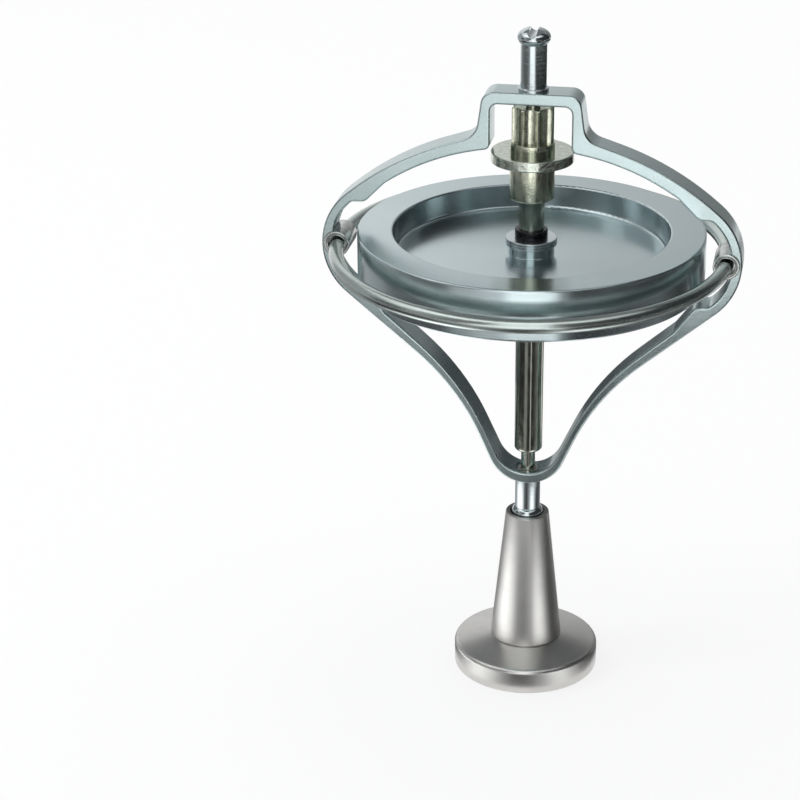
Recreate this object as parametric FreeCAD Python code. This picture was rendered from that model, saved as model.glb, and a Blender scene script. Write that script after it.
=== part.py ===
"""Toy gyroscope standing on its turned metal stand.

A heavy flywheel spins on an upright axle inside an arched metal frame. A wire
guard ring surrounds the flywheel. The frame ends in a slotted post above and
below, and the lower post stands in the cup of a small turned stand.

Millimetres. Z is up along the common axis of stand, frame and flywheel, and
the origin is on that axis at the underside of the stand. The frame lies in the
XZ plane.
"""
import math
import os

import FreeCAD
import Part

V = FreeCAD.Vector

# ---------------------------------------------------------------- clearances
press_clearance = 0.01        # radial, between parts pressed or crimped together
running_clearance = 0.03      # radial, between a journal and its bush
pivot_clearance = 0.3         # around the foot in the cup
end_play = 0.3                # above the upper journal

# --------------------------------------------------------------------- stand
base_radius = 12.0
base_rim_height = 4.1
base_rim_round = 0.8
base_rise = 1.2               # the top of the base climbs this much to the column
base_foot_round = 0.3
column_foot_radius = 5.9
column_top_radius = 3.55
column_height = 22.8
column_foot_chamfer = 0.2
cup_depth = 1.45
cup_edge_round = 0.15
spigot_radius = 3.0
spigot_recess = 0.5           # the spigot stops this far above the underside
socket_chamfer = 0.4

# --------------------------------------------------- posts and slotted heads
post_radius = 2.06
head_radius = 2.62
head_half_height = 1.55
head_flat = 0.1               # turned off the tip of each head
slot_width = 1.35
slot_depth = 1.05
bottom_post_reach = 6.12      # frame underside to the middle of the foot
top_post_reach = 8.33         # frame top to the middle of the upper head
collar_radius = 2.4
collar_height = 0.5
collar_round = 0.15

# ------------------------------------------------------------------ bearings
journal_radius = 1.15
journal_tip_chamfer = 0.2
bush_wall = 0.47
bush_length = 3.0
bush_end_wall = 0.45
bush_mouth_chamfer = 0.15

# --------------------------------------------------------------------- axle
bare_journal_length = 3.5     # lower journal, between the frame and the shaft
lower_shaft_length = 29.95
lower_shaft_radius = 2.27
lower_shaft_round = 0.5
upper_shaft_radius = 2.02
bare_neck_length = 5.1        # upper shaft, between the retaining ring and the sleeve

# -------------------------------------------------------------------- rotor
rotor_radius = 27.5
rotor_height = 8.15
rim_width = 5.6
rim_edge_round = 0.3
recess_depth = 3.9
recess_draft = 0.45           # the recess floor is this much smaller in radius
recess_floor_round = 0.5
boss_radius = 3.65
boss_height = 1.45
underside_rim_width = 6.6
underside_recess_depth = 1.6
underside_boss_radius = 7.0
washer_radius = 4.1
washer_thickness = 1.2
washer_chamfer = 0.15
retaining_ring_radius = 2.6
retaining_ring_thickness = 1.35
retaining_groove_depth = 0.35
retaining_ring_split = 0.5
band_groove_depth = 0.18
band_groove_width = 0.24

# ----------------------------------------------------------- pinion assembly
sleeve_radius = 3.55
sleeve_length = 6.1
sleeve_chamfer = 0.3
flange_radius = 6.52
flange_thickness = 1.65
flange_round = 0.15
neck_radius = 3.5
neck_length = 1.45
pinion_tip_radius = 3.36
pinion_root_radius = 2.62
pinion_groove_radius = 1.35
tooth_length = 5.7
tooth_count = 8
tooth_phase = 23.5            # degrees from +X to the first tooth
tooth_end_chamfer = 0.35
pinion_end_gap = 0.65         # to the underside of the frame's top bar

# --------------------------------------------------------------- guard ring
wire_radius = 1.15
rotor_ring_gap = 2.25
ring_below_rotor_top = 3.45
ring_tilt = 1.3               # degrees, the front of the ring sits this much low
ring_split = 0.4
ring_sleeve_radius = 2.08
ring_sleeve_overhang = 0.4    # past the front and back face of the frame
ring_sleeve_counterbore_radius = 1.66
ring_sleeve_counterbore_depth = 0.8
ring_sleeve_edge_round = 0.2

# -------------------------------------------------------------------- frame
frame_depth = 5.2
frame_edge_round = 0.28
top_bar_thickness = 1.88
bottom_bar_thickness = 1.7
sleeve_backing = 0.37         # frame metal left outside each ring sleeve
side_wall = 1.58
side_outer_round = 10.8
portal_outer_half_width = 7.6
portal_outer_round = 2.0
portal_outer_depth = 7.15
portal_foot_half_width = 8.62
portal_foot_round = 3.2
portal_inner_half_width = 6.38
portal_inner_round = 1.2
portal_inner_depth = 7.25
portal_mouth_round = 1.0
arm_angle_at_portal = 18.0    # fall of the upper arm's outer edge, degrees
arm_angle_at_side = 40.2
arm_bend_round = 46.0
arm_taper_at_portal = 7.8     # the inner edge falls this much less steeply
arm_taper_at_side = 6.8
inner_arm_bend_round = 38.0
leg_angle_at_side = 40.3      # slope of the leg's outer edge, degrees
leg_angle_at_bottom = 66.4
leg_bend_round = 38.8
leg_taper_at_side = 0.8       # the inner edge is this much steeper
leg_taper_at_bottom = 1.3     # and here this much less steep
inner_leg_bend_round = 40.7
bottom_outer_round = 6.5
bottom_inner_round = 5.5
ledge_rise = 7.15             # of the lugs above and below the ring sleeve
ledge_length = 2.1
ledge_outer_round = 1.3
ledge_tip_round = 1.9
upper_lug_slope = 45.5
upper_lug_slope_length = 4.64
lower_lug_slope = 54.2
lower_lug_slope_length = 5.4
lug_root_round = 1.7

# ------------------------------------------------- heights, from the stand up
column_foot_z = base_rim_height + base_rise
stand_height = column_foot_z + column_height
foot_drop = head_half_height - head_flat
cup_floor_z = stand_height - cup_depth
foot_z = cup_floor_z + foot_drop
frame_bottom_z = foot_z + bottom_post_reach
frame_inner_bottom_z = frame_bottom_z + bottom_bar_thickness
shaft_bottom_z = frame_inner_bottom_z + bare_journal_length
rotor_bottom_z = shaft_bottom_z + lower_shaft_length
rotor_top_z = rotor_bottom_z + rotor_height
recess_floor_z = rotor_top_z - recess_depth
boss_top_z = recess_floor_z + boss_height
washer_top_z = boss_top_z + washer_thickness
retaining_ring_top_z = washer_top_z + retaining_ring_thickness
sleeve_bottom_z = retaining_ring_top_z + bare_neck_length
flange_bottom_z = sleeve_bottom_z + sleeve_length
flange_top_z = flange_bottom_z + flange_thickness
tooth_bottom_z = flange_top_z + neck_length
pinion_top_z = tooth_bottom_z + tooth_length
frame_inner_top_z = pinion_top_z + pinion_end_gap
frame_top_z = frame_inner_top_z + top_bar_thickness
top_head_z = frame_top_z + top_post_reach
ring_z = rotor_top_z - ring_below_rotor_top

# --------------------------------------------------- sizes that follow others
cup_radius = head_radius + pivot_clearance
cup_half_height = head_half_height + pivot_clearance
ring_radius = rotor_radius + rotor_ring_gap + wire_radius
frame_half_width = ring_radius + ring_sleeve_radius + sleeve_backing
ring_sleeve_length = frame_depth + 2 * ring_sleeve_overhang
bush_bore_radius = journal_radius + running_clearance
bush_radius = bush_bore_radius + bush_wall
bush_seat_radius = bush_radius + press_clearance
hub_bore_radius = upper_shaft_radius + press_clearance
post_hole_radius = post_radius + press_clearance
bottom_bush_floor_z = frame_inner_bottom_z - bush_length + bush_end_wall
top_bush_floor_z = frame_inner_top_z + bush_length - bush_end_wall
retaining_groove_radius = upper_shaft_radius - retaining_groove_depth

# --------------------------------------------------------------- tolerances
same_point = 1e-6
same_plane = 1e-4
edge_share = 0.995            # of an edge that the rounds at its two ends may take up


# ------------------------------------------------------------- shape helpers
def crossing(point_a, angle_a, point_b, angle_b):
    """Where the line through point_a at angle_a meets the one through point_b."""
    ax, az = math.cos(math.radians(angle_a)), math.sin(math.radians(angle_a))
    bx, bz = math.cos(math.radians(angle_b)), math.sin(math.radians(angle_b))
    dx, dz = point_b[0] - point_a[0], point_b[1] - point_a[1]
    reach = (dx * bz - dz * bx) / (ax * bz - az * bx)
    return point_a[0] + reach * ax, point_a[1] + reach * az


def step(point, angle, distance):
    """The point at a distance from another, in the direction of an angle."""
    return (point[0] + distance * math.cos(math.radians(angle)),
            point[1] + distance * math.sin(math.radians(angle)))


def rounded_edges(corners):
    """Edges of a closed outline in the XZ plane. Each corner is (x, z, radius)."""
    count = len(corners)
    points = [V(x, 0, z) for x, z, radius in corners]
    half_angles = []
    cuts = []
    for i in range(count):
        back = (points[i - 1] - points[i]).normalize()
        ahead = (points[(i + 1) % count] - points[i]).normalize()
        half = math.acos(max(-1.0, min(1.0, back.dot(ahead)))) / 2
        half_angles.append(half)
        cuts.append(corners[i][2] / math.tan(half))
    for i in range(count):
        j = (i + 1) % count
        room = edge_share * (points[j] - points[i]).Length
        wanted = cuts[i] + cuts[j]
        if wanted > room:
            cuts[i] *= room / wanted
            cuts[j] *= room / wanted
    edges = []
    starts = []
    ends = []
    arcs = []
    for i in range(count):
        back = (points[i - 1] - points[i]).normalize()
        ahead = (points[(i + 1) % count] - points[i]).normalize()
        start = points[i] + back * cuts[i]
        end = points[i] + ahead * cuts[i]
        starts.append(start)
        ends.append(end)
        if cuts[i] < same_point:
            arcs.append(None)
            continue
        radius = cuts[i] * math.tan(half_angles[i])
        inward = (back + ahead).normalize()
        middle = points[i] + inward * (radius / math.sin(half_angles[i]) - radius)
        arcs.append(Part.Arc(start, middle, end).toShape())
    for i in range(count):
        j = (i + 1) % count
        if arcs[i]:
            edges.append(arcs[i])
        if (starts[j] - ends[i]).Length > same_point:
            edges.append(Part.LineSegment(ends[i], starts[j]).toShape())
    return edges


def outline_face(corners):
    return Part.Face(Part.Wire(rounded_edges(corners)))


def turned(corners):
    """Solid of revolution about Z. Each corner is (radius, z, rounding)."""
    return outline_face(corners).revolve(V(0, 0, 0), V(0, 0, 1), 360)


def rod(radius, bottom, top):
    return Part.makeCylinder(radius, top - bottom, V(0, 0, bottom))


def rod_across(radius, length, x, z):
    """Cylinder along Y, centred on the frame's middle plane."""
    return Part.makeCylinder(radius, length, V(x, -length / 2, z), V(0, 1, 0))


def head_arc(radius, half_height, z, low_height, high_height):
    """Arc of a flattened ball's outline, between two heights above its middle."""
    ellipse = Part.Ellipse(V(radius, 0, z), V(0, 0, z + half_height), V(0, 0, z))
    low = math.asin(low_height / half_height)
    high = math.asin(high_height / half_height)
    return Part.ArcOfEllipse(ellipse, low, high).toShape()


def turned_around_arc(arc, low_end, high_end):
    """Solid of revolution whose outline is an arc with straight runs at its two ends."""
    low_point, high_point = sorted((v.Point for v in arc.Vertexes), key=lambda point: point.z)
    corners = [V(r, 0, z) for r, z in low_end] + [low_point]
    edges = [Part.LineSegment(a, b).toShape() for a, b in zip(corners, corners[1:])]
    edges.append(arc)
    corners = [high_point] + [V(r, 0, z) for r, z in high_end + low_end[:1]]
    edges += [Part.LineSegment(a, b).toShape() for a, b in zip(corners, corners[1:])]
    return Part.Face(Part.Wire(edges)).revolve(V(0, 0, 0), V(0, 0, 1), 360)


# --------------------------------------------------------------------- stand
def stand_base():
    bore = spigot_radius + press_clearance
    return turned([
        (bore + socket_chamfer, 0, 0),
        (base_radius, 0, base_foot_round),
        (base_radius, base_rim_height, base_rim_round),
        (column_foot_radius, column_foot_z, 0),
        (bore, column_foot_z, 0),
        (bore, socket_chamfer, 0),
    ])


def stand_column():
    body = turned([
        (0, spigot_recess, 0),
        (spigot_radius, spigot_recess, 0),
        (spigot_radius, column_foot_z, 0),
        (column_foot_radius - column_foot_chamfer, column_foot_z, 0),
        (column_foot_radius, column_foot_z + column_foot_chamfer, 0),
        (column_top_radius, stand_height, cup_edge_round),
        (0, stand_height, 0),
    ])
    dish = head_arc(cup_radius, cup_half_height, foot_z, cup_floor_z - foot_z, 0)
    above = max(stand_height, foot_z) + cup_half_height
    return body.cut(turned_around_arc(dish, [(0, cup_floor_z)], [(cup_radius, above), (0, above)]))


# --------------------------------------------------------------------- frame
def frame_outer_corners():
    """Right half of the frame's outside, from the top bar down to the bottom."""
    side = (frame_half_width - side_outer_round, ring_z)
    upper = step(side, 90 - arm_angle_at_side, side_outer_round)
    lower = step(side, leg_angle_at_side - 90, side_outer_round)
    portal_foot = (portal_foot_half_width, frame_top_z - portal_outer_depth)
    arm_bend = crossing(portal_foot, -arm_angle_at_portal, upper, -arm_angle_at_side)
    side_corner = crossing(upper, -arm_angle_at_side, lower, leg_angle_at_side)
    cradle = (0, frame_bottom_z + bottom_outer_round)
    leg_end = step(cradle, leg_angle_at_bottom - 90, bottom_outer_round)
    leg_bend = crossing(lower, leg_angle_at_side, leg_end, leg_angle_at_bottom)
    bottom_corner = crossing(leg_end, leg_angle_at_bottom, (0, frame_bottom_z), 0)
    return [
        (portal_outer_half_width, frame_top_z, portal_outer_round),
        portal_foot + (portal_foot_round,),
        arm_bend + (arm_bend_round,),
        side_corner + (side_outer_round,),
        leg_bend + (leg_bend_round,),
        bottom_corner + (bottom_outer_round,),
    ]


def frame_inner_corners():
    """Right half of the frame's window, with the lugs that hold the ring sleeve."""
    pocket_round = side_outer_round - side_wall
    pocket_reach = frame_half_width - side_outer_round + pocket_round * math.sqrt(2)
    ledge_x = pocket_reach - ledge_rise
    upper_ledge = (ledge_x, ring_z + ledge_rise)
    lower_ledge = (ledge_x, ring_z - ledge_rise)
    upper_tip = (ledge_x - ledge_length, upper_ledge[1])
    lower_tip = (ledge_x - ledge_length, lower_ledge[1])
    upper_root = step(upper_tip, 180 - upper_lug_slope, upper_lug_slope_length)
    lower_root = step(lower_tip, 180 + lower_lug_slope, lower_lug_slope_length)
    mouth = (portal_inner_half_width, frame_inner_top_z - portal_inner_depth)
    mouth_angle = arm_taper_at_portal - arm_angle_at_portal
    arm_bend = crossing(mouth, mouth_angle, upper_root, arm_taper_at_side - arm_angle_at_side)
    bottom_angle = leg_angle_at_bottom - leg_taper_at_bottom
    cradle = (0, frame_inner_bottom_z + bottom_inner_round)
    leg_end = step(cradle, bottom_angle - 90, bottom_inner_round)
    leg_bend = crossing(lower_root, leg_angle_at_side + leg_taper_at_side, leg_end, bottom_angle)
    bottom_corner = crossing(leg_end, bottom_angle, (0, frame_inner_bottom_z), 0)
    return [
        (portal_inner_half_width, frame_inner_top_z, portal_inner_round),
        mouth + (portal_mouth_round,),
        arm_bend + (inner_arm_bend_round,),
        upper_root + (lug_root_round,),
        upper_tip + (ledge_tip_round,),
        upper_ledge + (ledge_outer_round,),
        (pocket_reach, ring_z, pocket_round),
        lower_ledge + (ledge_outer_round,),
        lower_tip + (ledge_tip_round,),
        lower_root + (lug_root_round,),
        leg_bend + (inner_leg_bend_round,),
        bottom_corner + (bottom_inner_round,),
    ]


def frame_plate(right_half):
    """Slab as deep as the frame, from the right half of a symmetric outline."""
    left_half = [(-x, z, radius) for x, z, radius in reversed(right_half)]
    face = outline_face(right_half + left_half)
    face.translate(V(0, -frame_depth / 2, 0))
    return face.extrude(V(0, frame_depth, 0))


def frame():
    body = frame_plate(frame_outer_corners()).cut(frame_plate(frame_inner_corners()))
    face_edges = [edge for edge in body.Edges
                  if abs(abs(edge.BoundBox.YMin) - frame_depth / 2) < same_plane
                  and edge.BoundBox.YLength < same_plane]
    body = body.makeFillet(frame_edge_round, face_edges)
    for x in (-ring_radius, ring_radius):
        body = body.cut(rod_across(ring_sleeve_radius + press_clearance, 2 * frame_depth, x, ring_z))
    return body.cut(rod(post_hole_radius, foot_z, top_head_z))


# ----------------------------------------------------------- posts and bushes
def bush_seat(inner_face_z, side):
    """Blind hole for a bush, opening at the frame's inner face."""
    far = inner_face_z + side * (bush_length + press_clearance)
    return rod(bush_seat_radius, min(inner_face_z, far), max(inner_face_z, far))


def slotted_rod(head_z, side, far_z):
    """Rod from far_z to a flattened ball head with a slot along Y in its tip.

    The head looks up where side is +1 and down where it is -1.
    """
    length = abs(head_z - far_z)
    neck = head_half_height * math.sqrt(1 - (post_radius / head_radius) ** 2)
    arc = head_arc(head_radius, head_half_height, 0, -neck, foot_drop)
    body = turned_around_arc(arc, [(0, -length), (post_radius, -length)], [(0, foot_drop)])
    slot_root = foot_drop - slot_depth + slot_width / 2
    reach = 2 * head_radius
    body = body.cut(rod_across(slot_width / 2, 2 * reach, 0, slot_root))
    body = body.cut(Part.makeBox(slot_width, 2 * reach, reach, V(-slot_width / 2, -reach, slot_root)))
    if side < 0:
        body.rotate(V(0, 0, 0), V(1, 0, 0), 180)
    body.translate(V(0, 0, head_z))
    return body


def top_post():
    collar = turned([
        (post_radius, frame_top_z, 0),
        (collar_radius, frame_top_z, 0),
        (collar_radius, frame_top_z + collar_height, collar_round),
        (post_radius, frame_top_z + collar_height, 0),
    ])
    post = slotted_rod(top_head_z, 1, frame_inner_top_z).fuse(collar)
    return post.cut(bush_seat(frame_inner_top_z, 1))


def bottom_post():
    return slotted_rod(foot_z, -1, frame_inner_bottom_z).cut(bush_seat(frame_inner_bottom_z, -1))


def bush(mouth_z, side):
    """Closed-ended bearing cup whose mouth is at mouth_z and whose end lies on side."""
    floor = mouth_z + side * (bush_length - bush_end_wall)
    end = mouth_z + side * bush_length
    return turned([
        (0, floor, 0),
        (bush_bore_radius, floor, 0),
        (bush_bore_radius, mouth_z + side * bush_mouth_chamfer, 0),
        (bush_bore_radius + bush_mouth_chamfer, mouth_z, 0),
        (bush_radius, mouth_z, 0),
        (bush_radius, end, 0),
        (0, end, 0),
    ])


# --------------------------------------------------------------- guard ring
def tilted_with_ring(shape):
    """Turn a level shape about the line through both ring sleeves, front down."""
    shape.rotate(V(0, 0, ring_z), V(1, 0, 0), ring_tilt)
    return shape


def guard_ring():
    gap = math.degrees(ring_split / ring_radius)
    profile = Part.Wire(Part.Circle(V(ring_radius, 0, ring_z), V(0, 1, 0), wire_radius).toShape())
    ring = Part.Face(profile).revolve(V(0, 0, 0), V(0, 0, 1), 360 - gap)
    ring.rotate(V(0, 0, 0), V(0, 0, 1), 180 + gap / 2)
    return tilted_with_ring(ring)


def ring_sleeve(side):
    """Short tube crimped on the guard ring and held in the frame's side."""
    x = side * ring_radius
    tube = rod_across(ring_sleeve_radius, ring_sleeve_length, x, ring_z)
    rims = [edge for edge in tube.Edges if edge.BoundBox.YLength < same_plane]
    tube = tube.makeFillet(ring_sleeve_edge_round, rims)
    for end in (-1, 1):
        mouth = end * (ring_sleeve_length - ring_sleeve_counterbore_depth) / 2
        counterbore = rod_across(ring_sleeve_counterbore_radius, ring_sleeve_counterbore_depth, x, ring_z)
        counterbore.translate(V(0, mouth, 0))
        tube = tube.cut(counterbore)
    wire_path = Part.makeTorus(ring_radius, wire_radius + press_clearance, V(0, 0, ring_z))
    return tube.cut(tilted_with_ring(wire_path))


# -------------------------------------------------------- flywheel and axle
def axle():
    return turned([
        (0, bottom_bush_floor_z, 0),
        (journal_radius, bottom_bush_floor_z, journal_tip_chamfer),
        (journal_radius, shaft_bottom_z, 0),
        (lower_shaft_radius, shaft_bottom_z, lower_shaft_round),
        (lower_shaft_radius, rotor_bottom_z, 0),
        (upper_shaft_radius, rotor_bottom_z, 0),
        (upper_shaft_radius, washer_top_z, 0),
        (retaining_groove_radius, washer_top_z, 0),
        (retaining_groove_radius, retaining_ring_top_z, 0),
        (upper_shaft_radius, retaining_ring_top_z, 0),
        (upper_shaft_radius, pinion_top_z, 0),
        (journal_radius, pinion_top_z, 0),
        (journal_radius, top_bush_floor_z - end_play, journal_tip_chamfer),
        (0, top_bush_floor_z - end_play, 0),
    ])


def rotor():
    recess_radius = rotor_radius - rim_width
    underside_radius = rotor_radius - underside_rim_width
    underside_floor_z = rotor_bottom_z + underside_recess_depth
    return turned([
        (hub_bore_radius, rotor_bottom_z, 0),
        (underside_boss_radius, rotor_bottom_z, rim_edge_round),
        (underside_boss_radius, underside_floor_z, recess_floor_round),
        (underside_radius, underside_floor_z, recess_floor_round),
        (underside_radius, rotor_bottom_z, rim_edge_round),
        (rotor_radius, rotor_bottom_z, rim_edge_round),
        (rotor_radius, rotor_top_z, rim_edge_round),
        (recess_radius, rotor_top_z, rim_edge_round),
        (recess_radius - recess_draft, recess_floor_z, recess_floor_round),
        (boss_radius, recess_floor_z, 0),
        (boss_radius, boss_top_z, 0),
        (hub_bore_radius, boss_top_z, 0),
    ])


def hub_washer():
    return turned([
        (hub_bore_radius, boss_top_z, 0),
        (washer_radius, boss_top_z, washer_chamfer),
        (washer_radius, washer_top_z, washer_chamfer),
        (hub_bore_radius, washer_top_z, 0),
    ])


def retaining_ring():
    """Snap ring with two bands, split at the back."""
    bore = retaining_groove_radius + press_clearance
    middle = (washer_top_z + retaining_ring_top_z) / 2
    waist = retaining_ring_radius - band_groove_depth
    ring = turned([
        (bore, washer_top_z, 0),
        (retaining_ring_radius, washer_top_z, band_groove_depth),
        (retaining_ring_radius, middle - band_groove_width / 2, 0),
        (waist, middle, 0),
        (retaining_ring_radius, middle + band_groove_width / 2, 0),
        (retaining_ring_radius, retaining_ring_top_z, band_groove_depth),
        (bore, retaining_ring_top_z, 0),
    ])
    split = Part.makeBox(retaining_ring_split, 2 * retaining_ring_radius, 2 * retaining_ring_thickness,
                         V(-retaining_ring_split / 2, 0, middle - retaining_ring_thickness))
    return ring.cut(split)


def drive_pinion():
    """Toothed pinion, neck and lower sleeve, turned and milled in one piece."""
    body = turned([
        (hub_bore_radius, sleeve_bottom_z, 0),
        (sleeve_radius, sleeve_bottom_z, sleeve_chamfer),
        (sleeve_radius, flange_bottom_z, 0),
        (neck_radius, flange_bottom_z, 0),
        (neck_radius, tooth_bottom_z, 0),
        (pinion_tip_radius, tooth_bottom_z, 0),
        (pinion_tip_radius, pinion_top_z, tooth_end_chamfer),
        (hub_bore_radius, pinion_top_z, 0),
    ])
    groove_distance = pinion_root_radius + pinion_groove_radius
    pitch = 360 / tooth_count
    for tooth in range(tooth_count):
        x, y = step((0, 0), tooth_phase + (tooth + 0.5) * pitch, groove_distance)
        groove = Part.makeCylinder(pinion_groove_radius, 2 * tooth_length, V(x, y, tooth_bottom_z))
        body = body.cut(groove)
    return body


def guide_flange():
    bore = neck_radius + press_clearance
    return turned([
        (bore, flange_bottom_z, 0),
        (flange_radius, flange_bottom_z, flange_round),
        (flange_radius, flange_top_z, flange_round),
        (bore, flange_top_z, 0),
    ])


# -------------------------------------------------------------------- output
NODES = {
    "stand_base": stand_base(),
    "stand_column": stand_column(),
    "frame": frame(),
    "top_post": top_post(),
    "bottom_post": bottom_post(),
    "top_bush": bush(frame_inner_top_z, 1),
    "bottom_bush": bush(frame_inner_bottom_z, -1),
    "guard_ring": guard_ring(),
    "ring_sleeve_left": ring_sleeve(-1),
    "ring_sleeve_right": ring_sleeve(1),
    "axle": axle(),
    "rotor": rotor(),
    "hub_washer": hub_washer(),
    "retaining_ring": retaining_ring(),
    "drive_pinion": drive_pinion(),
    "guide_flange": guide_flange(),
}

os.makedirs("parts", exist_ok=True)
for name, shape in NODES.items():
    shape.exportStep(os.path.join("parts", name + ".step"))
    box = shape.BoundBox
    print(f"{name:18s} solids {len(shape.Solids)} valid {shape.isValid()} volume {shape.Volume:9.2f} "
          f"x {box.XMin:7.2f} {box.XMax:7.2f} y {box.YMin:7.2f} {box.YMax:7.2f} "
          f"z {box.ZMin:7.2f} {box.ZMax:7.2f}")
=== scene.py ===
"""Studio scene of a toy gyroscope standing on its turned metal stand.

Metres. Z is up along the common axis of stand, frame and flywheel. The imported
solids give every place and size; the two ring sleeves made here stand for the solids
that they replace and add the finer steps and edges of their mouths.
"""
import math

import bpy
from mathutils import Matrix, Vector


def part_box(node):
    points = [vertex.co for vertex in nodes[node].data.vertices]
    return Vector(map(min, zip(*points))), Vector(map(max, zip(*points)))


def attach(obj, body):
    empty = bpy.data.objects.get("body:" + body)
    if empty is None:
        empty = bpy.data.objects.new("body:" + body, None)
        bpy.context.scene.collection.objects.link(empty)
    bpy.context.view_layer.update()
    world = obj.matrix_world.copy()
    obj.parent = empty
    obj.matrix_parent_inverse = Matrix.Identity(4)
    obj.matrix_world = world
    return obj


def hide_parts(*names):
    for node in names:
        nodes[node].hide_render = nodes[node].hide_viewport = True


MM = 0.001
GROUND = 0.4 * MM               # height of the cards that lie on the floor
PALE = (0.90, 0.90, 0.90)       # matt floor and backdrop under the studio light
WHITE = (1.0, 1.0, 1.0)
FLOOR_SIZE = 6.0
BACKDROP_BEHIND = 2.5           # backdrop's distance behind the part
SHOWN_SHARE = 0.8               # of the flat pale colour, against the surface's own shading
CARD_TINT = (0.985, 0.995, 1.0)  # slight blue of the fading cards' painted reflections
CARD_STEP = 4                   # degrees between the edges of a swept card
LENS_IN_PIXELS, PICTURE_WIDTH = 2400.67, 800

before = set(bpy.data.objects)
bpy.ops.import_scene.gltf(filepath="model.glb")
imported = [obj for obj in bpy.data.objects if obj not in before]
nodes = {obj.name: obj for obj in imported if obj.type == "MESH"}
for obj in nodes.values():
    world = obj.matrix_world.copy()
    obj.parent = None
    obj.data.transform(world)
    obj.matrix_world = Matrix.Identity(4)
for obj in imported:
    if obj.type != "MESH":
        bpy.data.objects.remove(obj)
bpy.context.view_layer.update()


# ------------------------------------------------------------------ materials
def new_metal(name, colour, roughness, anisotropy=0.0):
    """Bare metal; turned or drawn metal scatters light across its rings."""
    material = bpy.data.materials.new(name)
    material.use_nodes = True
    tree = material.node_tree
    shader = tree.nodes["Principled BSDF"]
    shader.inputs["Metallic"].default_value = 1.0
    shader.inputs["Base Color"].default_value = (*colour, 1.0)
    shader.inputs["Roughness"].default_value = roughness
    shader.inputs["Anisotropic"].default_value = anisotropy
    if anisotropy:
        tangent = tree.nodes.new("ShaderNodeTangent")
        tangent.direction_type = "RADIAL"
        tangent.axis = "Z"
        tree.links.new(tangent.outputs["Tangent"], shader.inputs["Tangent"])
        shader.inputs["Anisotropic Rotation"].default_value = 0.25
    return material


def node(material, kind, **values):
    made = material.node_tree.nodes.new(kind)
    for key, value in values.items():
        if key in made.inputs:
            made.inputs[key].default_value = value
        else:
            setattr(made, key, value)
    return made


def link(material, source, target):
    material.node_tree.links.new(source, target)


def placed(material, scale=(1.0, 1.0, 1.0)):
    """Object coordinates, stretched along each axis."""
    where = node(material, "ShaderNodeTexCoord")
    mapping = node(material, "ShaderNodeMapping")
    mapping.inputs["Scale"].default_value = scale
    link(material, where.outputs["Object"], mapping.inputs["Vector"])
    return mapping.outputs["Vector"]


def noise(material, vector, scale, detail=2.0):
    made = node(material, "ShaderNodeTexNoise", Scale=scale, Detail=detail)
    link(material, vector, made.inputs["Vector"])
    return made.outputs["Fac"]


def spread(material, value, low, high):
    """Map a 0..1 pattern's middle range onto low..high."""
    made = node(material, "ShaderNodeMapRange")
    made.inputs["From Min"].default_value = 0.3
    made.inputs["From Max"].default_value = 0.7
    made.inputs["To Min"].default_value = low
    made.inputs["To Max"].default_value = high
    link(material, value, made.inputs["Value"])
    return made.outputs["Result"]


def vary_roughness(material, value, low, high):
    shader = material.node_tree.nodes["Principled BSDF"]
    link(material, spread(material, value, low, high), shader.inputs["Roughness"])


def vary_colour(material, value, dark, light):
    shader = material.node_tree.nodes["Principled BSDF"]
    mix = node(material, "ShaderNodeMix", data_type="RGBA")
    mix.inputs[6].default_value = (*dark, 1.0)
    mix.inputs[7].default_value = (*light, 1.0)
    link(material, spread(material, value, 0.0, 1.0), mix.inputs[0])
    link(material, mix.outputs[2], shader.inputs["Base Color"])


def add_relief(material, value, depth, after=None):
    """Bump from a pattern; depth in metres. Returns the normal for the next relief."""
    bump = node(material, "ShaderNodeBump", Strength=1.0, Distance=depth)
    link(material, value, bump.inputs["Height"])
    if after:
        link(material, after, bump.inputs["Normal"])
    shader = material.node_tree.nodes["Principled BSDF"]
    link(material, bump.outputs["Normal"], shader.inputs["Normal"])
    return bump.outputs["Normal"]


def distance_from_axis(material, vector):
    """Length of the flat part of a vector, for rings round the upright axis."""
    flat = node(material, "ShaderNodeVectorMath", operation="MULTIPLY")
    flat.inputs[1].default_value = (1.0, 1.0, 0.0)
    length = node(material, "ShaderNodeVectorMath", operation="LENGTH")
    link(material, vector, flat.inputs[0])
    link(material, flat.outputs["Vector"], length.inputs[0])
    return length.outputs["Value"]


def turning_rings(material, scale):
    """Fine irregular rings left by the lathe, on flat and on upright faces."""
    vector = placed(material)
    radius = distance_from_axis(material, vector)
    height = node(material, "ShaderNodeSeparateXYZ")
    link(material, vector, height.inputs["Vector"])
    joined = node(material, "ShaderNodeCombineXYZ")
    link(material, radius, joined.inputs["X"])
    link(material, height.outputs["Z"], joined.inputs["Y"])
    return noise(material, joined.outputs["Vector"], scale, 3.0)


def wear_edges(material, radius):
    """Softly rounded corners, as tumbling and handling leave them."""
    return node(material, "ShaderNodeBevel", Radius=radius, samples=6).outputs["Normal"]


def stand_finish():
    """Satin nickel on the stand, softened by tumbling after it was turned."""
    metal = new_metal("stand_satin_nickel", (0.66, 0.65, 0.63), 0.31, 0.4)
    rings = turning_rings(metal, 4200.0)
    vary_roughness(metal, rings, 0.28, 0.35)
    cloud = noise(metal, placed(metal), 300.0, 3.0)
    vary_colour(metal, cloud, (0.63, 0.62, 0.60), (0.69, 0.68, 0.66))
    worn = wear_edges(metal, 0.00018)
    add_relief(metal, noise(metal, placed(metal), 1800.0, 3.0), 0.0000012, worn)
    return metal


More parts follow.
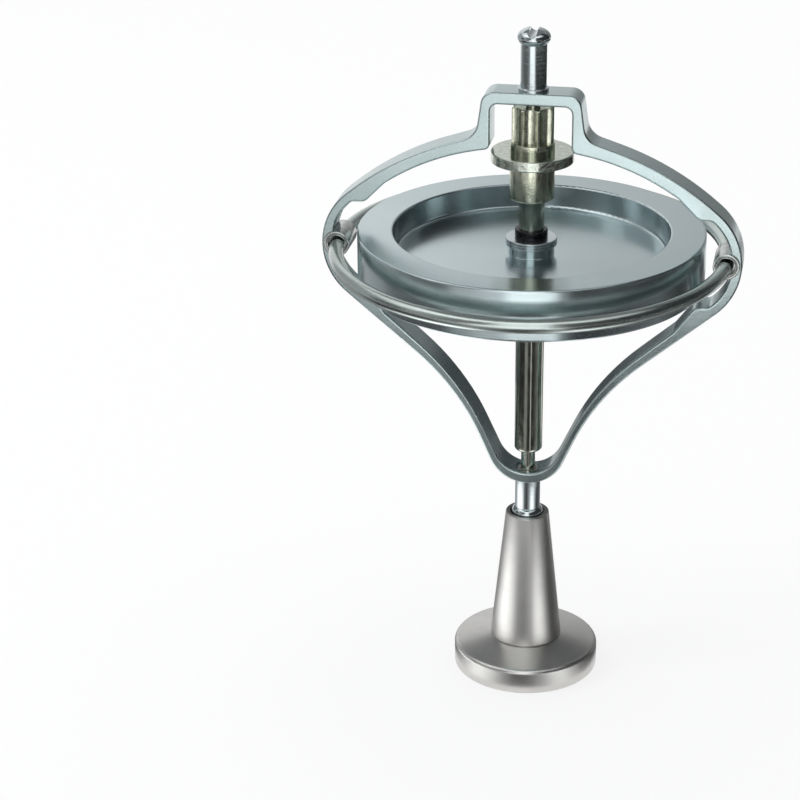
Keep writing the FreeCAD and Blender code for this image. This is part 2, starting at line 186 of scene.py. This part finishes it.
def frame_finish():
    """Cast aluminium, tumbled to a cool satin."""
    metal = new_metal("frame_satin_aluminium", (0.525, 0.62, 0.62), 0.25)
    cloud = noise(metal, placed(metal), 160.0, 4.0)
    vary_roughness(metal, cloud, 0.2, 0.29)
    patches = noise(metal, placed(metal), 70.0, 3.0)
    vary_colour(metal, patches, (0.485, 0.58, 0.58), (0.565, 0.66, 0.66))
    worn = wear_edges(metal, 0.00025)
    relief = add_relief(metal, noise(metal, placed(metal), 2600.0, 3.0), 0.000004, worn)
    add_relief(metal, noise(metal, placed(metal), 300.0), 0.000012, relief)
    return metal


def post_finish():
    """Polished steel of the posts and their slotted heads."""
    metal = new_metal("post_polished_steel", (0.60, 0.66, 0.67), 0.1)
    rings = turning_rings(metal, 3600.0)
    vary_roughness(metal, rings, 0.07, 0.13)
    relief = add_relief(metal, rings, 0.0000015, wear_edges(metal, 0.00015))
    add_relief(metal, noise(metal, placed(metal), 900.0, 3.0), 0.000004, relief)
    return metal


def bush_finish():
    """Pale sintered bronze, speckled by its pores."""
    metal = new_metal("bush_bronze", (0.66, 0.655, 0.62), 0.3)
    grains = noise(metal, placed(metal), 6000.0, 4.0)
    vary_colour(metal, grains, (0.54, 0.53, 0.49), (0.74, 0.735, 0.70))
    add_relief(metal, grains, 0.000006)
    return metal


def wire_finish():
    """Drawn and polished steel wire, streaked along its length."""
    metal = new_metal("ring_drawn_wire", (0.55, 0.615, 0.59), 0.24, 0.6)
    vector = placed(metal)
    around = distance_from_axis(metal, vector)
    height = node(metal, "ShaderNodeSeparateXYZ")
    link(metal, vector, height.inputs["Vector"])
    section = node(metal, "ShaderNodeCombineXYZ")
    link(metal, around, section.inputs["X"])
    link(metal, height.outputs["Z"], section.inputs["Y"])
    streaks = noise(metal, section.outputs["Vector"], 2200.0, 3.0)
    vary_roughness(metal, streaks, 0.19, 0.29)
    patches = noise(metal, placed(metal), 130.0, 3.0)
    vary_colour(metal, patches, (0.50, 0.56, 0.535), (0.60, 0.67, 0.645))
    add_relief(metal, streaks, 0.000012)
    return metal


def sleeve_finish():
    """Plain steel tube, rolled down on the wire and rubbed dull between the rolls."""
    metal = new_metal("sleeve_steel", (0.56, 0.58, 0.565), 0.22)
    stain = noise(metal, placed(metal), 900.0, 4.0)
    vary_colour(metal, stain, (0.44, 0.455, 0.44), (0.64, 0.66, 0.645))
    vary_roughness(metal, stain, 0.16, 0.28)
    grain = noise(metal, placed(metal), 3000.0, 3.0)
    relief = add_relief(metal, grain, 0.000005, wear_edges(metal, 0.0001))
    add_relief(metal, noise(metal, placed(metal), 900.0), 0.000006, relief)
    return metal


def plated(name, stain_low, stain_high):
    """Bright nickel plate with a warm cast; what it lies on shapes its skin."""
    metal = new_metal(name, stain_high, 0.12)
    stain = noise(metal, placed(metal, (1.0, 1.0, 0.35)), 1300.0, 4.0)
    vary_colour(metal, stain, stain_low, stain_high)
    vary_roughness(metal, stain, 0.07, 0.16)
    return metal


def nickel_finish():
    """Nickel on the pinion, dimpled and pitted by the plating bath."""
    metal = plated("nickel_plate", (0.42, 0.43, 0.34), (0.72, 0.74, 0.60))
    dimples = noise(metal, placed(metal), 1100.0, 2.0)
    relief = add_relief(metal, dimples, 0.000012, wear_edges(metal, 0.00012))
    add_relief(metal, noise(metal, placed(metal), 5200.0, 2.0), 0.000024, relief)
    return metal


def flange_finish():
    """Nickel on the guide flange: smooth on its two faces, rough as cast round its edge."""
    metal = plated("flange_nickel_plate", (0.52, 0.56, 0.49), (0.70, 0.745, 0.665))
    facing = node(metal, "ShaderNodeNewGeometry")
    split = node(metal, "ShaderNodeSeparateXYZ")
    level = node(metal, "ShaderNodeMath", operation="ABSOLUTE")
    edge = node(metal, "ShaderNodeMath", operation="SUBTRACT")
    edge.inputs[0].default_value = 1.0
    link(metal, facing.outputs["Normal"], split.inputs["Vector"])
    link(metal, split.outputs["Z"], level.inputs[0])
    link(metal, level.outputs["Value"], edge.inputs[1])
    pits = node(metal, "ShaderNodeMath", operation="MULTIPLY")
    link(metal, noise(metal, placed(metal), 1500.0, 3.0), pits.inputs[0])
    link(metal, edge.outputs["Value"], pits.inputs[1])
    relief = add_relief(metal, pits.outputs["Value"], 0.00009, wear_edges(metal, 0.00015))
    add_relief(metal, noise(metal, placed(metal), 3600.0, 2.0), 0.000004, relief)
    return metal


def axle_finish():
    """Nickel on the turned axle; the rings of the tool still show through."""
    metal = plated("axle_nickel_plate", (0.50, 0.515, 0.45), (0.66, 0.68, 0.60))
    rings = noise(metal, placed(metal, (0.05, 0.05, 1.0)), 2600.0, 3.0)
    relief = add_relief(metal, rings, 0.000005, wear_edges(metal, 0.00012))
    add_relief(metal, noise(metal, placed(metal), 3000.0, 3.0), 0.000003, relief)
    return metal


def rotor_finish():
    """Turned steel flywheel, blue-grey, with the rings of the last cut."""
    metal = new_metal("rotor_turned_steel", (0.57, 0.66, 0.675), 0.2, 0.6)
    rings = turning_rings(metal, 5200.0)
    vary_roughness(metal, rings, 0.19, 0.215)
    patches = noise(metal, placed(metal), 60.0, 3.0)
    vary_colour(metal, patches, (0.55, 0.64, 0.655), (0.59, 0.68, 0.695))
    relief = add_relief(metal, rings, 0.00000015, wear_edges(metal, 0.0002))
    add_relief(metal, noise(metal, placed(metal), 500.0, 2.0), 0.0000012, relief)
    return metal


def washer_finish():
    """Fine-turned steel washer."""
    metal = new_metal("washer_turned_steel", (0.62, 0.67, 0.70), 0.24, 0.6)
    rings = turning_rings(metal, 4000.0)
    vary_roughness(metal, rings, 0.2, 0.28)
    add_relief(metal, rings, 0.000004, wear_edges(metal, 0.0001))
    return metal


def snap_ring_finish():
    """Black oxide on spring steel, rubbed brighter on its crests."""
    metal = new_metal("snap_ring_black_oxide", (0.035, 0.036, 0.038), 0.3)
    wear = noise(metal, placed(metal), 1500.0, 4.0)
    vary_colour(metal, wear, (0.02, 0.021, 0.023), (0.06, 0.062, 0.065))
    vary_roughness(metal, wear, 0.22, 0.4)
    add_relief(metal, wear, 0.000004, wear_edges(metal, 0.0001))
    return metal


# --------------------------------------------------------------------- pieces
def select_faces(piece, wanted):
    """Select the faces for which wanted(centre, normal) holds."""
    bpy.ops.object.mode_set(mode="EDIT")
    bpy.ops.mesh.select_mode(type="FACE")
    bpy.ops.mesh.select_all(action="DESELECT")
    bpy.ops.object.mode_set(mode="OBJECT")
    for face in piece.data.polygons:
        face.select = wanted(face.center, face.normal)
    bpy.ops.object.mode_set(mode="EDIT")


def select_edges(piece, wanted):
    """Select the edges for which wanted(end, end) holds."""
    bpy.ops.object.mode_set(mode="EDIT")
    bpy.ops.mesh.select_mode(type="EDGE")
    bpy.ops.mesh.select_all(action="DESELECT")
    bpy.ops.object.mode_set(mode="OBJECT")
    points = [vertex.co for vertex in piece.data.vertices]
    for edge in piece.data.edges:
        a, b = edge.vertices
        edge.select = wanted(points[a], points[b])
    bpy.ops.object.mode_set(mode="EDIT")


def rolled_sleeve():
    """Tube along Y, stepped in at both mouths where it was rolled down on the wire."""
    tube_radius, tube_length = 2.08 * MM, 6.0 * MM
    mouth_steps = ((0.36, -0.3), (0.14, 0.2), (0.17, -0.45))    # inwards and outwards, mm
    bore_end, mouth_start = 2.6 * MM, 2.68 * MM                 # along the tube, from its middle
    same_place = 0.01 * MM
    bpy.ops.object.select_all(action="DESELECT")
    bpy.ops.mesh.primitive_cylinder_add(vertices=64, radius=tube_radius, depth=tube_length,
                                        end_fill_type="NGON", rotation=(math.radians(90), 0, 0))
    sleeve = bpy.context.object
    bpy.ops.object.transform_apply(location=True, rotation=True, scale=True)
    select_faces(sleeve, lambda centre, normal: abs(normal.y) > 0.9)
    for width, rise in mouth_steps:
        bpy.ops.mesh.inset(thickness=width * MM, use_individual=True)
        bpy.ops.mesh.extrude_region_shrink_fatten(TRANSFORM_OT_shrink_fatten={"value": rise * MM})
    bpy.ops.mesh.delete(type="FACE")
    select_edges(sleeve, lambda a, b: abs(a.y) < bore_end and abs(a.y - b.y) < same_place)
    bpy.ops.mesh.bridge_edge_loops()
    select_edges(sleeve, lambda a, b: abs(a.y) > mouth_start and abs(a.y - b.y) < same_place
                 and abs(math.hypot(a.x, a.z) - math.hypot(b.x, b.z)) < same_place)
    bpy.ops.mesh.bevel(offset=0.055 * MM, segments=3, affect="EDGES")
    bpy.ops.mesh.select_all(action="SELECT")
    bpy.ops.mesh.remove_doubles(threshold=0.001 * MM)
    bpy.ops.mesh.normals_make_consistent(inside=False)
    bpy.ops.object.mode_set(mode="OBJECT")
    bpy.ops.object.shade_smooth_by_angle(angle=math.radians(35))
    return sleeve


def ring_sleeves():
    """The same sleeve at either side of the frame."""
    first = rolled_sleeve()
    second = first.copy()
    second.data = first.data.copy()
    bpy.context.scene.collection.objects.link(second)
    for sleeve, side, name in ((first, -1, "ring_sleeve_left"), (second, 1, "ring_sleeve_right")):
        low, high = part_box(name)
        sleeve.name = name + "_rolled"
        bpy.ops.object.select_all(action="DESELECT")
        sleeve.select_set(True)
        bpy.context.view_layer.objects.active = sleeve
        bpy.ops.transform.translate(value=((low[0] + high[0]) / 2, 0, (low[2] + high[2]) / 2))
        bpy.ops.object.transform_apply(location=True, rotation=True, scale=True)
        sleeve.data.materials.append(made_finishes[sleeve_finish])
        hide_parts(name)
        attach(sleeve, "gyroscope")


FINISHES = {
    "stand_base": stand_finish, "stand_column": stand_finish,
    "frame": frame_finish,
    "top_post": post_finish, "bottom_post": post_finish,
    "top_bush": bush_finish, "bottom_bush": bush_finish,
    "guard_ring": wire_finish,
    "ring_sleeve_left": sleeve_finish, "ring_sleeve_right": sleeve_finish,
    "axle": axle_finish, "drive_pinion": nickel_finish, "guide_flange": flange_finish,
    "rotor": rotor_finish, "hub_washer": washer_finish, "retaining_ring": snap_ring_finish,
}
made_finishes = {}
for name, finish in FINISHES.items():
    if finish not in made_finishes:
        made_finishes[finish] = finish()
    for slot in nodes[name].material_slots:
        slot.material = made_finishes[finish]
ring_sleeves()


# ---------------------------------------------------------------------- studio
def seen_directly(tree):
    """1 for the camera and for what metal and glass show, 0 for the light that falls on things."""
    path = tree.nodes.new("ShaderNodeLightPath")
    value = path.outputs["Is Camera Ray"]
    for kind in ("Is Glossy Ray", "Is Transmission Ray"):
        either = tree.nodes.new("ShaderNodeMath")
        either.operation = "MAXIMUM"
        tree.links.new(value, either.inputs[0])
        tree.links.new(path.outputs[kind], either.inputs[1])
        value = either.outputs["Value"]
    return value


def plain(name, shown_colour, real_colour):
    """Matt colour that shows as a flat one, with a share of its own shading."""
    material = bpy.data.materials.new(name)
    material.use_nodes = True
    tree = material.node_tree
    shader = tree.nodes["Principled BSDF"]
    shader.inputs["Base Color"].default_value = (*real_colour, 1.0)
    shader.inputs["Roughness"].default_value = 1.0
    shader.inputs["Specular IOR Level"].default_value = 0.0
    glow = tree.nodes.new("ShaderNodeEmission")
    glow.inputs["Color"].default_value = (*shown_colour, 1.0)
    mix = tree.nodes.new("ShaderNodeMixShader")
    share = tree.nodes.new("ShaderNodeMath")
    share.operation = "MULTIPLY"
    share.inputs[1].default_value = SHOWN_SHARE
    tree.links.new(seen_directly(tree), share.inputs[0])
    tree.links.new(share.outputs["Value"], mix.inputs["Fac"])
    tree.links.new(shader.outputs["BSDF"], mix.inputs[1])
    tree.links.new(glow.outputs["Emission"], mix.inputs[2])
    tree.links.new(mix.outputs["Shader"], tree.nodes["Material Output"].inputs["Surface"])
    return material


def studio_floor():
    bpy.ops.object.select_all(action="DESELECT")
    bpy.ops.mesh.primitive_plane_add(size=FLOOR_SIZE, location=(0, 0, 0))
    floor = bpy.context.object
    floor.name = "studio_floor"
    floor.data.materials.append(plain("floor_pale", WHITE, PALE))


def studio_backdrop():
    bpy.ops.object.select_all(action="DESELECT")
    bpy.ops.mesh.primitive_plane_add(size=FLOOR_SIZE, location=(0, BACKDROP_BEHIND, 0),
                                     rotation=(math.radians(90), 0, 0))
    wall = bpy.context.object
    wall.name = "studio_backdrop"
    wall.data.materials.append(plain("backdrop_pale", WHITE, PALE))


def card_glow(name, colour):
    material = bpy.data.materials.new(name)
    material.use_nodes = True
    tree = material.node_tree
    tree.nodes.remove(tree.nodes["Principled BSDF"])
    glow = tree.nodes.new("ShaderNodeEmission")
    glow.inputs["Color"].default_value = (*colour, 1.0)
    tree.links.new(glow.outputs["Emission"], tree.nodes["Material Output"].inputs["Surface"])
    return material


def reflected_card(name, start, end, near, far, colour):
    """Card swept round the part between two azimuths, seen only in its reflections; its glow is a
    painted reflection that lights nothing and casts no shadow.

    Near and far are the (radius, height) of the card's two edges.
    """
    bpy.ops.object.select_all(action="DESELECT")
    bpy.ops.mesh.primitive_plane_add(size=1.0)
    card = bpy.context.object
    card.name = name
    bpy.ops.object.mode_set(mode="EDIT")
    bpy.ops.mesh.select_all(action="DESELECT")
    bpy.ops.object.mode_set(mode="OBJECT")
    for vertex in card.data.vertices:
        vertex.select = vertex.co.y > 0
    bpy.ops.object.mode_set(mode="EDIT")
    bpy.ops.mesh.delete(type="VERT")
    bpy.ops.object.mode_set(mode="OBJECT")
    azimuth = math.radians(end)
    for vertex, (radius, height) in zip(card.data.vertices, (near, far)):
        vertex.co = (radius * math.sin(azimuth), -radius * math.cos(azimuth), height)
    bpy.ops.object.mode_set(mode="EDIT")
    bpy.ops.mesh.select_all(action="SELECT")
    bpy.ops.mesh.spin(steps=max(2, round((end - start) / CARD_STEP)), angle=math.radians(end - start),
                      center=(0, 0, 0), axis=(0, 0, 1))
    bpy.ops.object.mode_set(mode="OBJECT")
    card.data.materials.append(card_glow(name, colour))
    card.visible_camera = False
    card.visible_diffuse = False
    card.visible_shadow = False
    card.visible_transmission = False
    return card


def standing_card(name, start, end, radius, bottom, top, colour):
    return reflected_card(name, start, end, (radius, bottom), (radius, top), colour)


def fade(card, along, stops):
    """Brightness that changes along a coordinate; stops are (coordinate, value)."""
    tree = card.data.materials[0].node_tree
    reach = tree.nodes.new("ShaderNodeMapRange")
    ramp = tree.nodes.new("ShaderNodeValToRGB")
    first, last = stops[0][0], stops[-1][0]
    peak = max(value for _, value in stops)
    reach.inputs["From Min"].default_value = first
    reach.inputs["From Max"].default_value = last
    while len(ramp.color_ramp.elements) < len(stops):
        ramp.color_ramp.elements.new(0.5)
    for element, (place, value) in zip(ramp.color_ramp.elements, stops):
        element.position = (place - first) / (last - first)
        element.color = (*(value / peak * share for share in CARD_TINT), 1.0)
    tree.links.new(along, reach.inputs["Value"])
    tree.links.new(reach.outputs["Result"], ramp.inputs["Fac"])
    tree.links.new(ramp.outputs["Color"], tree.nodes["Emission"].inputs["Color"])
    tree.nodes["Emission"].inputs["Strength"].default_value = peak


def place_of(card):
    """X, Y and Z of a card's points."""
    tree = card.data.materials[0].node_tree
    where = tree.nodes.new("ShaderNodeTexCoord")
    split = tree.nodes.new("ShaderNodeSeparateXYZ")
    tree.links.new(where.outputs["Object"], split.inputs["Vector"])
    return tree, split


def fade_across(card, stops):
    """Fade along X, in metres."""
    _, split = place_of(card)
    fade(card, split.outputs["X"], stops)


def fade_around(card, stops):
    """Fade round the upright axis, in degrees from the front towards +X."""
    tree, split = place_of(card)
    ahead = tree.nodes.new("ShaderNodeMath")
    ahead.operation = "MULTIPLY"
    ahead.inputs[1].default_value = -1.0
    turn = tree.nodes.new("ShaderNodeMath")
    turn.operation = "ARCTAN2"
    tree.links.new(split.outputs["Y"], ahead.inputs[0])
    tree.links.new(split.outputs["X"], turn.inputs[0])
    tree.links.new(ahead.outputs["Value"], turn.inputs[1])
    fade(card, turn.outputs["Value"], [(math.radians(azimuth), value) for azimuth, value in stops])


def fading_ring(name, near, far, stops):
    """Painted-reflection card round the part from the first stop to the last, with soft changes between
    them.
    """
    fade_around(reflected_card(name, stops[0][0], stops[-1][0], near, far, WHITE), stops)


def soft_light(name, place, aim, size, power, colour=WHITE):
    lamp = bpy.data.lights.new(name, "AREA")
    lamp.shape = "RECTANGLE"
    lamp.size, lamp.size_y = size
    lamp.energy = power
    lamp.color = colour
    holder = bpy.data.objects.new(name, lamp)
    bpy.context.scene.collection.objects.link(holder)
    holder.location = place
    holder.rotation_euler = (Vector(aim) - Vector(place)).to_track_quat("-Z", "Y").to_euler()
    holder.visible_glossy = False


def studio_world():
    world = bpy.data.worlds.new("studio_world")
    bpy.context.scene.world = world
    world.use_nodes = True
    tree = world.node_tree
    mix = tree.nodes.new("ShaderNodeMix")
    mix.data_type = "RGBA"
    mix.inputs[6].default_value = (0.34, 0.35, 0.36, 1.0)
    mix.inputs[7].default_value = (1.0, 1.0, 1.0, 1.0)
    tree.links.new(seen_directly(tree), mix.inputs[0])
    tree.links.new(mix.outputs[2], tree.nodes["Background"].inputs["Color"])


def studio_camera():
    right = Vector((0.98109783, 0.19332905, -0.00842239))
    down = Vector((0.07013703, -0.39581852, -0.91564649))
    forward = right.cross(down)
    data = bpy.data.cameras.new("studio_camera")
    data.sensor_width = 36.0
    data.lens = LENS_IN_PIXELS / PICTURE_WIDTH * data.sensor_width
    data.clip_start = 0.01
    camera = bpy.data.objects.new("studio_camera", data)
    bpy.context.scene.collection.objects.link(camera)
    turn = Matrix((right, -down, -forward)).transposed().to_4x4()
    camera.matrix_world = Matrix.Translation(Vector((49.837, -354.499, 205.07)) * MM) @ turn
    bpy.context.scene.camera = camera


def cards_for_stand():
    """Painted reflections round the stand: glowing rings on the floor, seen only in the metal, light to
    either side of it and dark in front and behind, and a painted sheen high in front.
    """
    fading_ring("column_painted_reflection", (0.022, GROUND), (0.07, GROUND), (
        (-180, 0.5), (-122, 0.3), (-98, 1.1), (-80, 2.1), (-64, 2.4), (-43, 1.6), (-21, 0.2), (2, 0.05),
        (24, 0.5), (38, 1.6), (52, 1.8), (66, 1.2), (79, 0.4), (95, 0.05), (136, 0.15), (180, 0.5)))
    fading_ring("base_painted_reflection", (0.0135, GROUND), (0.022, GROUND), (
        (-180, 0.4), (-125, 0.3), (-92, 0.1), (-78, 0.28), (-64.4, 0.67), (-48, 1.3), (-36.9, 1.35),
        (-25, 0.9), (-14.8, 0.4), (-4, 0.1), (6, 0.07), (14, 0.16), (25.6, 0.45), (36, 0.9),
        (47, 1.05), (58, 0.7), (72.8, 0.22), (90, 0.1), (105, 0.12), (140, 0.3), (180, 0.4)))
    fading_ring("high_sheen", (0.3, 0.37), (0.3, 0.66), (
        (-110, 0.6), (-90, 1.5), (-40, 1.8), (20, 1.7), (70, 1.0), (100, 0.4)))


def cards_for_post():
    """The lower post and the underside of the wire show a painted reflection: a glowing ring on the
    floor a hand's breadth away.
    """
    fading_ring("post_painted_reflection", (0.07, GROUND), (0.083, GROUND), (
        (-180, 0.3), (-100, 0.5), (-75, 1.0), (-50, 0.8), (-30, 0.5), (-12, 0.12), (0, 0.1), (12, 0.24),
        (24, 0.22), (34, 0.08), (48, 0.09), (62, 0.5), (85, 0.6), (105, 0.1), (150, 0.1), (180, 0.3)))


def cards_for_axle():
    """The lower axle and legs show a painted reflection: a dark glowing ring on the floor with narrow
    light strips as painted highlights.
    """
    fading_ring("axle_painted_reflection", (0.083, GROUND), (0.2, GROUND), (
        (-180, 0.45), (-130, 0.4), (-101, 0.34), (-92, 0.05), (-40, 0.03), (-31, 0.08), (-25, 0.3),
        (-9, 0.25), (-3, 0.06), (6, 0.025), (18, 0.03), (19.5, 0.7), (24.5, 0.7), (26, 0.03),
        (46, 0.04), (70, 0.16), (95, 0.28), (115, 0.06), (127, 0.06), (129, 0.85), (144, 0.85),
        (148, 0.1), (180, 0.45)))
    radius, bottom, top = 0.045, 0.032, 0.064      # two dark cards a little way behind the legs, seen only in reflections: painted shade on the legs
    standing_card("legs_painted_shade_right", 148, 200, radius, bottom, top, (0.075, 0.082, 0.085))
    standing_card("legs_painted_shade_left", 200, 260, radius, bottom, top, (0.16, 0.172, 0.176))


def cards_for_frame():
    """The frame and posts show painted reflections from glowing cards seen only in the metal: a white
    panel in front, grey on the left, dark on the right.
    """
    fading_ring("panel", (0.2, GROUND), (0.309, GROUND), (
        (-130, 0.5), (-95, 0.34), (-60, 0.16), (-47, 0.2), (-38, 0.8), (-20, 0.8), (-9, 0.9), (-4, 2.1),
        (20, 2.1), (27, 0.5), (34, 0.06), (160, 0.03)))
    fading_ring("panel_of_bar", (0.309, GROUND), (0.344, GROUND), (
        (-130, 0.5), (-95, 0.34), (-60, 0.16), (-47, 0.2), (-38, 0.35), (-5, 0.25), (8, 0.7), (20, 0.8),
        (27, 0.5), (34, 0.06), (160, 0.03)))
    fading_ring("panel_of_post", (0.344, GROUND), (0.42, GROUND), (
        (-130, 0.5), (-100, 0.2), (-80, 0.1), (-45, 0.1), (-28, 0.3), (-18, 1.6), (12, 1.6),
        (22, 0.3), (30, 0.04), (160, 0.03)))
    fading_ring("wall_front_low", (0.42, 0.001), (0.42, 0.10), (
        (-30, 0.3), (-18, 1.6), (12, 1.6), (22, 0.2)))
    fading_ring("wall_front", (0.44, 0.01), (0.44, 1.1), (
        (-62, 0.45), (-45, 0.3), (-28, 0.2), (-16, 0.14), (-8, 1.3), (16, 1.3), (24, 0.1), (50, 0.06)))
    standing_card("wall_right_dark", 50, 130, 0.44, 0.01, 0.9, (0.04, 0.042, 0.045))
    standing_card("wall_left_dark", -85, -62, 0.44, 0.01, 0.3, (0.14, 0.145, 0.15))
    standing_card("wall_left_grey", -130, -85, 0.44, 0.01, 0.4, (0.4, 0.41, 0.43))
    reflected_card("ceiling", 0, 360, (0.002, 1.2), (0.62, 1.2), (0.19, 0.195, 0.2))
    standing_card("wall_back_high", 130, 235, 0.6, 0.56, 1.2, (0.22, 0.225, 0.23))
    behind = standing_card("wall_back_fading", 130, 196, 0.6, 0.01, 0.55, (1.0, 1.0, 1.0))
    fade_across(behind, ((-0.17, 0.98), (-0.07, 0.66), (0.2, 0.26), (0.46, 0.15)))


studio_world()
studio_floor()
studio_backdrop()
cards_for_stand()
cards_for_post()
cards_for_axle()
cards_for_frame()
soft_light("top_light", (-0.1, 0.25, 1.1), (0, 0, 0.05), (1.8, 1.6), 12.5)
soft_light("left_light", (-0.7, -0.3, 0.6), (0, 0, 0.06), (0.4, 0.5), 2.4, (0.95, 0.98, 1.0))
studio_camera()

scene = bpy.context.scene
scene.view_settings.view_transform = "Standard"
